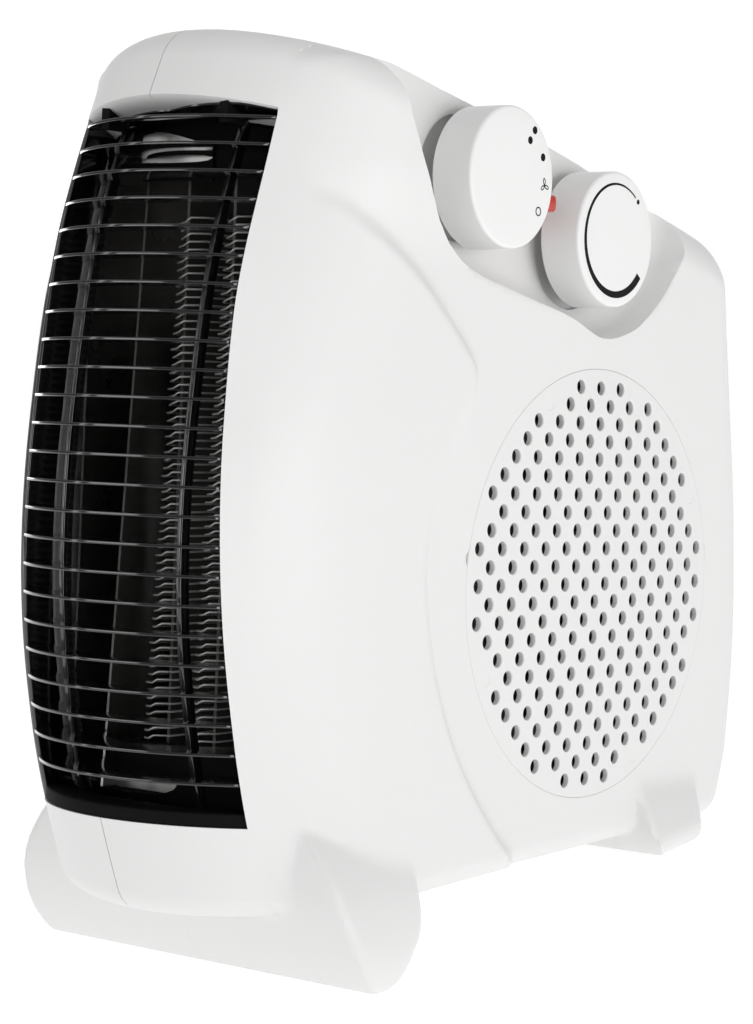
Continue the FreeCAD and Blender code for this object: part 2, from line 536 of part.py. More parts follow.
# ---------------------------------------------------------------- assembly, placing and output
def build():
    housings()
    parts["outlet_grille"] = outlet_grille()
    parts["intake_grille"] = intake_grille()
    parts["fan_scroll"] = fan_scroll()
    parts["impeller"] = impeller()
    motor()
    heater()
    controls()
    supply()
    screws()
    tz = -FLOOR_Z * math.cos(math.radians(LEAN)) + FLOOR_Y * math.sin(math.radians(LEAN))
    for name in parts:
        s = one(parts[name]).copy()
        s.rotate(V(0, 0, 0), V(1, 0, 0), -LEAN)
        s.translate(V(0, SHIFT_Y, tz))
        parts[name] = s


if __name__ == "__main__":
    build()
    os.makedirs("parts", exist_ok=True)
    for name, shape in parts.items():
        shape.exportStep("parts/%s.step" % name)
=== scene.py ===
import bpy, math
import numpy as np
from mathutils import Matrix, Vector
from mathutils.geometry import delaunay_2d_cdt


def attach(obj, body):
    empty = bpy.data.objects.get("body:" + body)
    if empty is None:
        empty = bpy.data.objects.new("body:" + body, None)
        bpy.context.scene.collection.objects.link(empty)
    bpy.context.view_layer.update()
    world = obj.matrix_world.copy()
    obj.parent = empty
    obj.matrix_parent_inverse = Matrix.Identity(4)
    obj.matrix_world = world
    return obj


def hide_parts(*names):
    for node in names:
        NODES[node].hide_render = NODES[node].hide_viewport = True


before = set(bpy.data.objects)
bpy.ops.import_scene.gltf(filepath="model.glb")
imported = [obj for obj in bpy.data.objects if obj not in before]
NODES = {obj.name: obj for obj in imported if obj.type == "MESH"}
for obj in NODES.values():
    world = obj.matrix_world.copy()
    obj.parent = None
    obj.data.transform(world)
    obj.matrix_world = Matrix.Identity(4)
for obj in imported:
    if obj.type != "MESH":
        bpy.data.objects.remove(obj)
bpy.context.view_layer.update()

scene = bpy.context.scene

# ------------------------------------------------------------------ frames
# Shapes are worked out upright, in mm: X = 0 is the seam of the two half shells, the intake disc
# is centred on Y = 0, Z = 0 and the outlet faces -Y. The body then leans back on its feet.
LEAN = math.radians(8.5)
CL, SL = math.cos(LEAN), math.sin(LEAN)
SHIFT_Y = 34.12
SHIFT_Z = 107.4 * CL - 107.0 * SL


def place(p):
    p = np.asarray(p, float).reshape(-1, 3)
    q = np.empty_like(p)
    q[:, 0] = p[:, 0]
    q[:, 1] = p[:, 1] * CL + p[:, 2] * SL + SHIFT_Y
    q[:, 2] = -p[:, 1] * SL + p[:, 2] * CL + SHIFT_Z
    return q / 1000.0


# ------------------------------------------------------------------ camera
F_PX, AZ, EL, ROLL = 2641.0, math.radians(38.07), math.radians(1.39), math.radians(2.35)
Q = 7.5 / math.sqrt(2.0)


def make_camera():
    back = np.array([math.sin(AZ) * math.cos(EL), -math.cos(AZ) * math.cos(EL), math.sin(EL)])
    fwd = -back
    right = np.cross(fwd, [0, 0, 1.0])
    right /= np.linalg.norm(right)
    down = np.cross(fwd, right)
    c, s = math.cos(ROLL), math.sin(ROLL)
    rows = np.array([[c, -s, 0], [s, c, 0], [0, 0, 1.0]]) @ np.array([right, down, fwd])
    eye = np.array([52.5, 0, 0]) - rows.T @ (np.array([12.17, 4.03, 148.81]) * Q)
    turn = np.array([[1, 0, 0], [0, CL, SL], [0, -SL, CL]])
    r, d, f = [turn @ v for v in rows]
    e = place(eye)[0]
    cam = bpy.data.cameras.new("camera")
    cam.sensor_fit = "AUTO"
    cam.sensor_width = 36.0
    cam.lens = F_PX / 1024.0 * 36.0
    cam.clip_start, cam.clip_end = 0.01, 30.0
    ob = bpy.data.objects.new("camera", cam)
    scene.collection.objects.link(ob)
    ob.matrix_world = Matrix(((r[0], -d[0], -f[0], e[0]), (r[1], -d[1], -f[1], e[1]), (r[2], -d[2], -f[2], e[2]), (0, 0, 0, 1)))
    scene.camera = ob


make_camera()


# ------------------------------------------------------------------ materials
def material(name, base, rough, var=0.03, var_scale=18.0, grain=0.0, grain_scale=1800.0, rough_var=0.05, metallic=0.0,
             spec=0.5, coat=0.0):
    m = bpy.data.materials.new(name)
    m.use_nodes = True
    nt = m.node_tree
    b = nt.nodes["Principled BSDF"]
    b.inputs["Metallic"].default_value = metallic
    b.inputs["Specular IOR Level"].default_value = spec
    b.inputs["Coat Weight"].default_value = coat
    if coat:
        b.inputs["Coat Roughness"].default_value = 0.12
    tc = nt.nodes.new("ShaderNodeTexCoord")
    n1 = nt.nodes.new("ShaderNodeTexNoise")
    n1.inputs["Scale"].default_value = var_scale
    n1.inputs["Detail"].default_value = 4.0
    nt.links.new(tc.outputs["Object"], n1.inputs["Vector"])
    mix = nt.nodes.new("ShaderNodeMix")
    mix.data_type = "RGBA"
    lo = [max(0.0, c * (1 - var)) for c in base]
    hi = [min(1.0, c * (1 + var)) for c in base]
    mix.inputs[6].default_value = (*lo, 1)
    mix.inputs[7].default_value = (*hi, 1)
    nt.links.new(n1.outputs["Fac"], mix.inputs[0])
    nt.links.new(mix.outputs[2], b.inputs["Base Color"])
    n2 = nt.nodes.new("ShaderNodeTexNoise")
    n2.inputs["Scale"].default_value = grain_scale
    n2.inputs["Detail"].default_value = 2.0
    nt.links.new(tc.outputs["Object"], n2.inputs["Vector"])
    mr = nt.nodes.new("ShaderNodeMapRange")
    mr.inputs["To Min"].default_value = max(0.0, rough - rough_var)
    mr.inputs["To Max"].default_value = min(1.0, rough + rough_var)
    nt.links.new(n1.outputs["Fac"], mr.inputs["Value"])
    nt.links.new(mr.outputs["Result"], b.inputs["Roughness"])
    if grain:
        bp = nt.nodes.new("ShaderNodeBump")
        bp.inputs["Strength"].default_value = grain
        bp.inputs["Distance"].default_value = 0.0001
        nt.links.new(n2.outputs["Fac"], bp.inputs["Height"])
        nt.links.new(bp.outputs["Normal"], b.inputs["Normal"])
    return m


WHITE = material("white_plastic", (0.785, 0.785, 0.78), 0.42, var=0.012, var_scale=9.0, grain=0.10, grain_scale=2400.0)
KNOB_WHITE = material("knob_plastic", (0.84, 0.84, 0.835), 0.38, var=0.010, var_scale=14.0, grain=0.07, grain_scale=2600.0)
BLACK = material("black_plastic", (0.005, 0.005, 0.0055), 0.11, var=0.2, var_scale=60.0, grain=0.02, grain_scale=1500.0, rough_var=0.03, spec=0.5, coat=0.8)
# matte black; also used for the sheets of painted shade inside the outlet
MATTE = material("matte_black", (0.004, 0.004, 0.0045), 0.7, var=0.2, var_scale=80.0, grain=0.05, grain_scale=900.0, spec=0.1)
INK = material("printed_ink", (0.006, 0.006, 0.0065), 0.5, var=0.15, var_scale=300.0, spec=0.1)
DARK = material("dark_plastic", (0.035, 0.035, 0.037), 0.5, var=0.15, grain=0.1)
STEEL = material("plated_steel", (0.58, 0.58, 0.57), 0.30, var=0.10, var_scale=40.0, grain=0.05, grain_scale=700.0, metallic=1.0, rough_var=0.10)
LAMINATION = material("lamination_steel", (0.28, 0.28, 0.29), 0.45, var=0.12, metallic=1.0, grain=0.2, grain_scale=1200.0)
COPPER = material("copper_winding", (0.62, 0.28, 0.13), 0.35, var=0.15, metallic=1.0, grain=0.3, grain_scale=900.0)
BRONZE = material("bronze", (0.55, 0.38, 0.18), 0.4, var=0.12, metallic=1.0, grain=0.1)
# mica boards in a dark grey that stands in for the shade inside the outlet duct: painted shade
MICA_SHADED = material("mica_board", (0.10, 0.097, 0.09), 0.45, var=0.25, var_scale=120.0, grain=0.15, grain_scale=400.0)
WIRE = material("resistance_wire", (0.86, 0.85, 0.83), 0.30, var=0.12, var_scale=200.0, metallic=0.35)
BODY_PLASTIC = material("control_body", (0.62, 0.60, 0.55), 0.5, var=0.05, grain=0.1)
RUBBER = material("soft_rubber", (0.70, 0.70, 0.69), 0.6, var=0.03, grain=0.15)
SLEEVE = material("wire_sleeve", (0.20, 0.20, 0.22), 0.5, var=0.08)
RED = material("red_lens", (0.50, 0.032, 0.018), 0.22, var=0.08, var_scale=300.0, coat=0.3)
GLASS = material("lamp_glass", (0.85, 0.55, 0.40), 0.15, var=0.05)

CAD_LOOK = {
    "fan_scroll": DARK, "impeller": DARK, "motor_shaft": STEEL, "motor_rotor": STEEL, "stator_core": LAMINATION, "motor_coil": COPPER,
    "motor_front_bracket": STEEL, "motor_rear_bracket": STEEL, "front_bearing": BRONZE, "rear_bearing": BRONZE,
    "element_frame": STEEL, "mica_board_low": MICA_SHADED, "mica_board_high": MICA_SHADED, "thermal_cutout": BODY_PLASTIC, "thermal_fuse": BODY_PLASTIC,
    "switch_spindle": STEEL, "thermostat_spindle": STEEL, "rotary_switch": BODY_PLASTIC, "thermostat": BODY_PLASTIC,
    "thermostat_bimetal": BRONZE, "neon_lamp": GLASS, "terminal_block": BODY_PLASTIC, "cord_gland": RUBBER, "cord_clamp": DARK,
    "live_wire": SLEEVE, "neutral_wire": SLEEVE, "element_wire": SLEEVE, "housing_screws": STEEL, "scroll_screws": STEEL,
    "motor_screws": STEEL, "clamp_screws": STEEL, "element_screws": STEEL,
}
for node, m in CAD_LOOK.items():
    NODES[node].data.materials.clear()
    NODES[node].data.materials.append(m)


# ------------------------------------------------------------------ mesh helpers
def add(name, verts, faces, body, mat, stands_for=(), sharp=35.0, upright=True):
    me = bpy.data.meshes.new(name)
    v = place(verts) if upright else np.asarray(verts, float)
    me.from_pydata(v.tolist(), [], [list(map(int, f)) for f in faces])
    me.validate()
    me.materials.append(mat)
    me.shade_smooth()
    me.set_sharp_from_angle(angle=math.radians(sharp))
    ob = bpy.data.objects.new(name, me)
    scene.collection.objects.link(ob)
    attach(ob, body)
    if stands_for:
        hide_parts(*stands_for)
    return ob


class Pile:
    """several closed meshes gathered into one piece"""

    def __init__(self):
        self.v, self.f, self.n = [], [], 0

    def add(self, verts, faces):
        verts = np.asarray(verts, float).reshape(-1, 3)
        self.v.append(verts)
        self.f += [[i + self.n for i in f] for f in faces]
        self.n += len(verts)

    def verts(self):
        return np.concatenate(self.v)


def loft(rings, closed_ends=True):
    """rings of equal length, joined by quads, with end caps"""
    n, m = len(rings), len(rings[0])
    v = np.concatenate([np.asarray(r, float) for r in rings])
    f = []
    for i in range(n - 1):
        for j in range(m):
            k = (j + 1) % m
            f.append([i * m + j, i * m + k, (i + 1) * m + k, (i + 1) * m + j])
    if closed_ends:
        f.append(list(range(m))[::-1])
        f.append([(n - 1) * m + j for j in range(m)])
    return v, f


def lathe_x(profile, y, z, seg=96):
    """profile [(x, r)] turned round the axis through (y, z) along X; ends on the axis"""
    v, f = [], []
    ring = []
    for x, r in profile:
        if r < 1e-9:
            ring.append([len(v)] * seg)
            v.append((x, y, z))
        else:
            ring.append(list(range(len(v), len(v) + seg)))
            for k in range(seg):
                a = 2 * math.pi * k / seg
                v.append((x, y + r * math.cos(a), z + r * math.sin(a)))
    for a, b in zip(ring, ring[1:]):
        for k in range(seg):
            l = (k + 1) % seg
            q = [a[k], a[l], b[l], b[k]]
            q = [q[i] for i in range(4) if q[i] not in q[:i]]
            if len(q) > 2:
                f.append(q)
    return np.array(v), f


# ------------------------------------------------------------------ body shape
def iround(a, b, r):
    u, v = np.maximum(a + r, 0), np.maximum(b + r, 0)
    return np.minimum(np.maximum(a, b), -r) + np.sqrt(u * u + v * v)


def uround(a, b, r):
    u, v = np.maximum(r - a, 0), np.maximum(r - b, 0)
    return np.maximum(np.minimum(a, b), r) - np.sqrt(u * u + v * v)


def sstep(x):
    x = np.clip(x, 0, 1)
    return x * x * (3 - 2 * x)


class Curve:
    """monotone cubic through points, straight beyond the ends"""

    def __init__(self, xs, ys):
        self.x, self.y = np.array(xs, float), np.array(ys, float)
        d = np.diff(self.y) / np.diff(self.x)
        m = np.zeros(len(xs))
        m[0], m[-1] = d[0], d[-1]
        for i in range(1, len(xs) - 1):
            m[i] = 2 * d[i - 1] * d[i] / (d[i - 1] + d[i]) if d[i - 1] * d[i] > 0 else 0.0
        self.m = m

    def __call__(self, t):
        t = np.asarray(t, float)
        i = np.clip(np.searchsorted(self.x, t) - 1, 0, len(self.x) - 2)
        h = self.x[i + 1] - self.x[i]
        u = (t - self.x[i]) / h
        y = ((1 + 2 * u) * (1 - u) ** 2 * self.y[i] + u * (1 - u) ** 2 * h * self.m[i]
             + u * u * (3 - 2 * u) * self.y[i + 1] + u * u * (u - 1) * h * self.m[i + 1])
        y = np.where(t < self.x[0], self.y[0] + (t - self.x[0]) * self.m[0], y)
        return np.where(t > self.x[-1], self.y[-1] + (t - self.x[-1]) * self.m[-1], y)


def smooth_loop(pts, n):
    p = np.array(pts, float)
    out = []
    for i in range(len(p)):
        a, b, c, d = p[i - 1], p[i], p[(i + 1) % len(p)], p[(i + 2) % len(p)]
        for k in range(n):
            t = k / n
            out.append(0.5 * ((2 * b) + (c - a) * t + (2 * a - 5 * b + 4 * c - d) * t * t + (3 * b - a - 3 * c + d) * t ** 3))
    return np.array(out)


class LoopField:
    """signed distance to a closed outline in the Y-Z plane (negative inside), kept on a fine grid"""

    def __init__(self, loop, h=0.5):
        self.h, self.y0, self.z0 = h, -185.0, -130.0
        y = np.arange(self.y0, 125.0, h)
        z = np.arange(self.z0, 180.0, h)
        Y, Z = np.meshgrid(y, z, indexing="ij")
        best = np.full(Y.shape, 1e18)
        inside = np.zeros(Y.shape, bool)
        for (ay, az), (by, bz) in zip(loop, np.roll(loop, -1, 0)):
            ey, ez = by - ay, bz - az
            t = np.clip(((Y - ay) * ey + (Z - az) * ez) / (ey * ey + ez * ez), 0, 1)
            best = np.minimum(best, (Y - ay - t * ey) ** 2 + (Z - az - t * ez) ** 2)
            if az != bz:
                inside ^= ((az > Z) != (bz > Z)) & (Y < ey * (Z - az) / ez + ay)
        self.t = np.where(inside, -1, 1) * np.sqrt(best)

    def __call__(self, Y, Z):
        a = np.clip((Y - self.y0) / self.h, 0, self.t.shape[0] - 1.001)
        b = np.clip((Z - self.z0) / self.h, 0, self.t.shape[1] - 1.001)
        i, j = a.astype(int), b.astype(int)
        a, b = a - i, b - j
        t = self.t
        return (t[i, j] * (1 - a) + t[i + 1, j] * a) * (1 - b) + (t[i, j + 1] * (1 - a) + t[i + 1, j + 1] * a) * b


X_SIDE, X_FRONT = 52.5, 55.5
R_PLAN, Y_APEX, Z_APEX, R_PROF, CROWN = 50.8, -166.5, 23.0, 247.0, 135.0
X_FLOOR = 38.5
K1, K2 = (-55.3, 115.3), (-1.3, 102.5)
T_SHELL = 3.9
BOSSES = [(-88.0, 136.5), (-24.0, 121.5), (58.0, 84.0), (70.0, -66.0), (-76.0, -73.0)]
TOP = Curve([-170, -150, -140, -128, -112, -92, -80, -67, -55, -11.6, 5.7, 44.5, 59, 75, 95],
            [142.6, 145.2, 147.2, 149.0, 149.6, 149.0, 147.2, 144.8, 142.8, 134.5, 130.7, 120.5, 117.2, 113.0, 106.6])
REAR = Curve([-110, -80, -71, -63, -53, -20, 19, 58, 80.7, 100.5, 112, 125],
             [78.5, 82.5, 85.2, 87.8, 90.2, 92.2, 89.6, 83.6, 79.8, 76.8, 75, 72.5])
CREASE_Y = Curve([-110, -80, -49, -15, 28, 72, 125, 150], [-116, -121, -127, -133.2, -136, -131.9, -124.7, -121])
FRONT_FAIR = Curve([-110, -75, -61, -50, -34, -17, 0, 15, 32, 48, 65, 81, 97, 114, 130, 145, 155],
                   [-1.2, -1.2, -1.3, -1.2, -0.75, -0.35, 0.25, 0.85, 1.4, 1.75, 1.45, 0.65, -0.1, -0.5, -1.1, -1.8, -2.2])
BELLY = Curve([-130, -70, 16, 100], [-89.5, -84.6, -79.8, -75])
FOOT_F = Curve([-110, -106.6, -103, -99.5, -95, -90, -85, -80, -75, -70, -66, -50],
               [60.2, 61.6, 62.3, 62.7, 62.3, 61.3, 59.9, 58.0, 55.3, 52.0, 48.8, 38])
FOOT_FY = Curve([-111, -107.7, -104, -99.5, -93, -87, -81, -74, -60],
                [-104.6, -108.4, -112.0, -115.6, -119.4, -122.0, -123.6, -124.3, -124.4])
FOOT_FB = Curve([-111, -106.3, -103.6, -99, -92.5, -86, -79, -60],
                [-103.2, -99.4, -95.8, -92.5, -87.9, -86.0, -85.5, -85.0])
FOOT_R = Curve([-92, -82.5, -77, -71.5, -66, -62.4, -50], [62.2, 61, 59.3, 57, 54.3, 52.3, 45])
FOOT_R_BACK = Curve([-90, -84, -80.6, -75.5, -69, -62, -50], [48.5, 55.2, 59.0, 62.4, 64.7, 66.3, 67.4])
STEP = LoopField(smooth_loop([(-127, 112), (-116.1, 101.6), (-102.5, 92.5), (-87.5, 81.8), (-74.9, 71.5), (-68.0, 65.4), (-65.0, 61.5), (-64.3, 57.6),
                              (-66.2, 51.6), (-73.3, 41.8), (-79.2, 31.0), (-83.1, 21.0), (-84.7, 7.9), (-82.6, -8.6), (-77.8, -25.3), (-69.6, -42.3),
                              (-59.1, -57.1), (-46, -71), (-30, -86), (-20, -110), (140, -110), (140, 170), (-124, 170)], 4))
RECESS = LoopField(smooth_loop([(-106, 170), (-101, 135), (-97, 122), (-92, 111.5), (-82, 97.5), (-68, 88.8), (-43.2, 83.4), (-18, 78.6),
                                (0, 73.2), (14.6, 75.7), (24.4, 80.9), (33.5, 88.5), (41, 97.4), (45.5, 104), (46, 112), (44, 125),
                                (42, 170)], 4))
TAN_LEAN = math.tan(LEAN)


def floor_gap(Y, Z):
    return (-107.4 + TAN_LEAN * (Y + 107.0) - Z) * CL


def x_open(Z):
    return 34.7 + 2.8 * sstep((95.0 - Z) / 150.0)


def x_crease(Z):
    return 47.0 - 5.0 * sstep((Z - 30.0) / 95.0)


def front_y(ax, Z):
    sag = (Z - Z_APEX) ** 2 / (2 * R_PROF) + FRONT_FAIR(Z)
    xo = x_open(Z)
    y_edge = Y_APEX + sag + R_PLAN - np.sqrt(R_PLAN ** 2 - xo ** 2)
    a = np.minimum(ax, xo)
    inner = Y_APEX + sag + R_PLAN - np.sqrt(R_PLAN ** 2 - a * a)
    slope = np.maximum((CREASE_Y(Z) - y_edge) / (x_crease(Z) - xo), 0.35)
    return inner + np.maximum(ax - xo, 0) * slope


def side_x(Y, Z):
    ds = STEP(Y, Z)
    low = X_SIDE + (X_FRONT - X_SIDE) * sstep((Z - 86) / 30.0) * sstep((-62 - Y) / 25.0)
    level = low + (X_FRONT - low) * sstep((ds + 2.0) / 5.0)
    t = np.clip((-92 - Y) / (-92 - CREASE_Y(Z)), 0, 1.4)
    return level - (X_FRONT - x_crease(Z)) * t ** 1.6


def body(ax, Y, Z):
    steep = np.where(ax < x_open(Z), np.minimum(ax, 40.0) / 40.0, 1.45)
    gf = (front_y(ax, Z) - Y) / np.sqrt(1.15 + steep ** 2)
    gs = (ax - side_x(Y, Z)) * 0.97
    gt = (Z - (TOP(Y) - ax * ax / (2 * CROWN))) * 0.96
    gr = Y - (REAR(Z) + 2.0 * (1 - (ax / 52.5) ** 2))
    d = iround(gs, gf, 3.5)
    d = iround(d, gr, 12.0)
    d = iround(d, gt, 6.0 + 5.0 * sstep((Y + 128.0) / 40.0))
    return iround(d, BELLY(Y) - Z, 7.0)


def feet(ax, Y, Z):
    fl = floor_gap(Y, Z)
    g1, g2, g3 = (FOOT_FY(Z) - Y) * 0.85, (Y - FOOT_FB(Z)) * 0.85, (ax - FOOT_F(Z)) * 0.9
    a = iround(iround(g1, g3, 2.8), g2, 4.5)
    a = np.maximum(np.maximum(iround(a, fl, 1.3), iround(g3, fl, 1.8)), iround(g2, fl, 3.0))
    a = np.maximum(a, Z + 62)
    g1, g2, g3 = (29.6 - Y) + np.clip(-62.4 - Z, 0, 30) * 0.06, Y - FOOT_R_BACK(Z), (ax - FOOT_R(Z)) * 0.92
    b = iround(iround(g1, g3, 2.5), g2 * 0.85, 5.0)
    b = np.maximum(np.maximum(iround(b, fl, 4.0), iround(g3, fl, 8.0)), iround(g1, fl, 12.0))
    b = np.maximum(b, Z + 54)
    return a, b


def recess(X, Y, Z):
    k = 0.12 + 0.10 * sstep((Y + 40) / 50.0)
    wall = (RECESS(Y, Z) + (X_SIDE - np.clip(X, X_FLOOR, 60)) * k) / np.sqrt(1 + k * k)
    return iround(wall, X_FLOOR - X, 7.0)


def outside(X, Y, Z, right):
    ax = np.abs(X)
    d = body(ax, Y, Z)
    a, b = feet(ax, Y, Z)
    d = uround(uround(d, a, 1.5), b, 1.5)
    return iround(d, -recess(X, Y, Z), 0.35) if right else d


def mouth(ax, Y, Z):
    """the outlet opening; its upper edge slopes down as it goes in"""
    top = 129.6 - 3.6 * (ax / 36.0) ** 2 - 0.40 * np.clip(Y - front_y(ax, Z), 0.0, 13.0)
    return np.maximum(np.maximum(ax - x_open(Z), (Z - top) * 0.93), -63.5 - Z)


def half_shell(right):
    def f(X, Y, Z):
        ax = np.abs(X)
        d = outside(X, Y, Z, right)
        s = np.maximum(d, -(d + T_SHELL))
        # a deep return round the outlet
        m = mouth(ax, Y, Z)
        lip = np.maximum(np.maximum(np.maximum(m - 2.6, Y - (front_y(ax, Z) + 13.0)), d), Y + 100)
        s = np.minimum(s, lip)
        rb = np.min([np.hypot(Y - y, Z - z) for y, z in BOSSES], axis=0)
        s = np.minimum(s, np.maximum(rb - 4.8, d))
        s = np.maximum(s, -np.maximum(m, Y + 100))
        if right:
            # a shallow well behind each knob
            rk = np.minimum(np.hypot(Y - K1[0] + 2.2, Z - K1[1]), np.hypot(Y - K2[0] - 1.8, Z - K2[1] + 2.7))
            s = np.minimum(s, np.maximum(np.maximum(np.maximum(rk - 21.5, X - X_FLOOR), 30.0 - X), d))
            s = np.maximum(s, -np.maximum(rk - 18.0, 36.2 - X))
            r = np.hypot(Y, Z)
            s = np.maximum(s, -np.maximum(r - 62.0, 40 - X))
            s = np.maximum(s, -np.maximum(r - 64.05, 50.9 - X))
        else:
            s = np.maximum(s, -np.maximum(rb - 3.6, 14 - ax))
            s = np.maximum(s, -(rb - 1.9))
        s = np.maximum(s, -np.maximum(np.hypot(X, Z + 48.0) - 6.0, 70 - Y))
        # the seam is a fine groove that closes inside the wall and on the feet
        gap = 0.015 + 0.115 * sstep((d + 3.2) / 2.8) * (1.0 - sstep((-86.0 - Z) / 3.0))
        return np.maximum(s, gap - (X if right else -X))
    return f


def contour(f, lo, hi, h):
    """closed quad mesh of f = 0 that keeps sharp edges"""
    n = np.array([int(math.ceil((b - a) / h)) + 1 for a, b in zip(lo, hi)])
    lo = np.array(lo, float)
    g = [lo[i] + h * np.arange(n[i]) for i in range(3)]
    F = f(g[0][:, None, None], g[1][None, :, None], g[2][None, None, :])
    F = np.broadcast_to(F, n)
    S = F < 0
    nc = n - 1
    total = int(nc.prod())
    pts, nrm, cells, quads = [], [], [], []
    for a in range(3):
        u, v = (a + 1) % 3, (a + 2) % 3
        A = [slice(None)] * 3
        B = [slice(None)] * 3
        A[a], B[a] = slice(0, -1), slice(1, None)
        I = np.argwhere(S[tuple(A)] != S[tuple(B)])
        I = I[(I[:, u] > 0) & (I[:, u] < n[u] - 1) & (I[:, v] > 0) & (I[:, v] < n[v] - 1)]
        J = I.copy()
        J[:, a] += 1
        fa, fb = F[tuple(I.T)].copy(), F[tuple(J.T)].copy()
        inside_low = fa < 0
        P0 = lo + I * h
        ta, tb = np.zeros(len(I)), np.ones(len(I))
        for step in range(7):
            t = (ta * fb - tb * fa) / (fb - fa) if step % 3 < 2 else 0.5 * (ta + tb)
            P = P0.copy()
            P[:, a] += t * h
            ft = f(P[:, 0], P[:, 1], P[:, 2])
            same = (ft < 0) == (fa < 0)
            ta, fa = np.where(same, t, ta), np.where(same, ft, fa)
            tb, fb = np.where(same, tb, t), np.where(same, fb, ft)
            same_fix = fb == fa
            fb = np.where(same_fix, fb + 1e-9, fb)
        e = 0.04
        G = np.empty_like(P)
        for k in range(3):
            Pa, Pb = P.copy(), P.copy()
            Pa[:, k] -= e
            Pb[:, k] += e
            G[:, k] = f(Pb[:, 0], Pb[:, 1], Pb[:, 2]) - f(Pa[:, 0], Pa[:, 1], Pa[:, 2])
        G /= np.maximum(np.linalg.norm(G, axis=1), 1e-12)[:, None]
        four = []
        for du, dv in ((1, 1), (0, 1), (0, 0), (1, 0)):
            C = I.copy()
            C[:, u] -= du
            C[:, v] -= dv
            four.append((C[:, 0] * nc[1] + C[:, 1]) * nc[2] + C[:, 2])
        four = np.array(four).T
        quads.append(np.where(inside_low[:, None], four, four[:, ::-1]))
        for k in range(4):
            pts.append(P)
            nrm.append(G)
            cells.append(four[:, k])
    P, G, C = np.concatenate(pts), np.concatenate(nrm), np.concatenate(cells)
    quads = np.concatenate(quads)
    used, C = np.unique(C, return_inverse=True)
    m = len(used)
    cnt = np.bincount(C, minlength=m)
    mean = np.stack([np.bincount(C, P[:, k], m) for k in range(3)], 1) / cnt[:, None]
    D = np.einsum("ij,ij->i", G, P - mean[C])
    M = np.zeros((m, 3, 3))
    rhs = np.zeros((m, 3))
    for i in range(3):
        rhs[:, i] = np.bincount(C, G[:, i] * D, m)
        for j in range(i, 3):
            M[:, i, j] = M[:, j, i] = np.bincount(C, G[:, i] * G[:, j], m)
    w, E = np.linalg.eigh(M / cnt[:, None, None])
    inv = np.where(w > 0.06, 1.0 / np.maximum(w, 1e-9), 0.0)
    rhs /= cnt[:, None]
    x = np.einsum("nij,nj->ni", E, inv * np.einsum("nji,nj->ni", E, rhs))
    V = mean + x
    ijk = np.stack(np.unravel_index(used, nc), 1)
    low = lo + ijk * h
    V = np.clip(V, low - 0.5 * h, low + 1.5 * h)
    stray = np.abs(f(V[:, 0], V[:, 1], V[:, 2])) > 0.25
    V[stray] = mean[stray]
    flat = (w[:, 1] < 0.02) | stray
    for _ in range(3):                       # smooth places are set exactly on the surface
        Pv = V[flat]
        val = f(Pv[:, 0], Pv[:, 1], Pv[:, 2])
        g3 = np.empty_like(Pv)
        for k in range(3):
            Pa, Pb = Pv.copy(), Pv.copy()
            Pa[:, k] -= 0.04
            Pb[:, k] += 0.04
            g3[:, k] = (f(Pb[:, 0], Pb[:, 1], Pb[:, 2]) - f(Pa[:, 0], Pa[:, 1], Pa[:, 2])) / 0.08
        stepv = val[:, None] * g3 / np.maximum((g3 * g3).sum(1), 0.2)[:, None]
        V[flat] = Pv - np.clip(stepv, -0.4, 0.4)
    remap = np.searchsorted(used, quads)
    return V, remap


def housing(name, node, right, h):
    # the grid is sheared so that one of its planes runs just inside the side of the outlet
    lo = (-2.3, -170.0, -112.0) if right else (-64.9, -170.0, -112.0)
    hi = (65.5, 97.0, 154.0) if right else (3.0, 97.0, 154.0)
    f, sg = half_shell(right), (1.0 if right else -1.0)
    v, q = contour(lambda X, Y, Z: f(X + sg * (x_open(Z) - 36.0), Y, Z), lo, hi, h)
    v[:, 0] += sg * (x_open(v[:, 2]) - 36.0)
    return add(name, v, q, "casing", WHITE, (node,), sharp=38.0)


H_CELL = 1.6
housing("right_housing_shell", "right_housing", True, H_CELL)
housing("left_housing_shell", "left_housing", False, H_CELL)


# ------------------------------------------------------------------ outlet grille
def round_bar(w, d, r0, r1, n=4):
    """outline of a bar: depth along the first axis from 0, width about 0; r0 rounds the front, r1 the rear"""
    out = []
    for (cx, cy, a0, r) in ((r0, -w / 2 + r0, 270, r0), (d - r1, -w / 2 + r1, 270, r1), (d - r1, w / 2 - r1, 0, r1), (r0, w / 2 - r0, 90, r0)):
        a0 = {0: 180, 1: 270, 2: 0, 3: 90}[len(out) // (n + 1)]
        for k in range(n + 1):
            a = math.radians(a0 + 90.0 * k / n)
            out.append((cx + r * math.cos(a), cy + r * math.sin(a)))
    return out


def arc_y(x, z):
    return Y_APEX + (z - Z_APEX) ** 2 / (2 * R_PROF) + float(FRONT_FAIR(z)) + R_PLAN - math.sqrt(R_PLAN ** 2 - x * x)


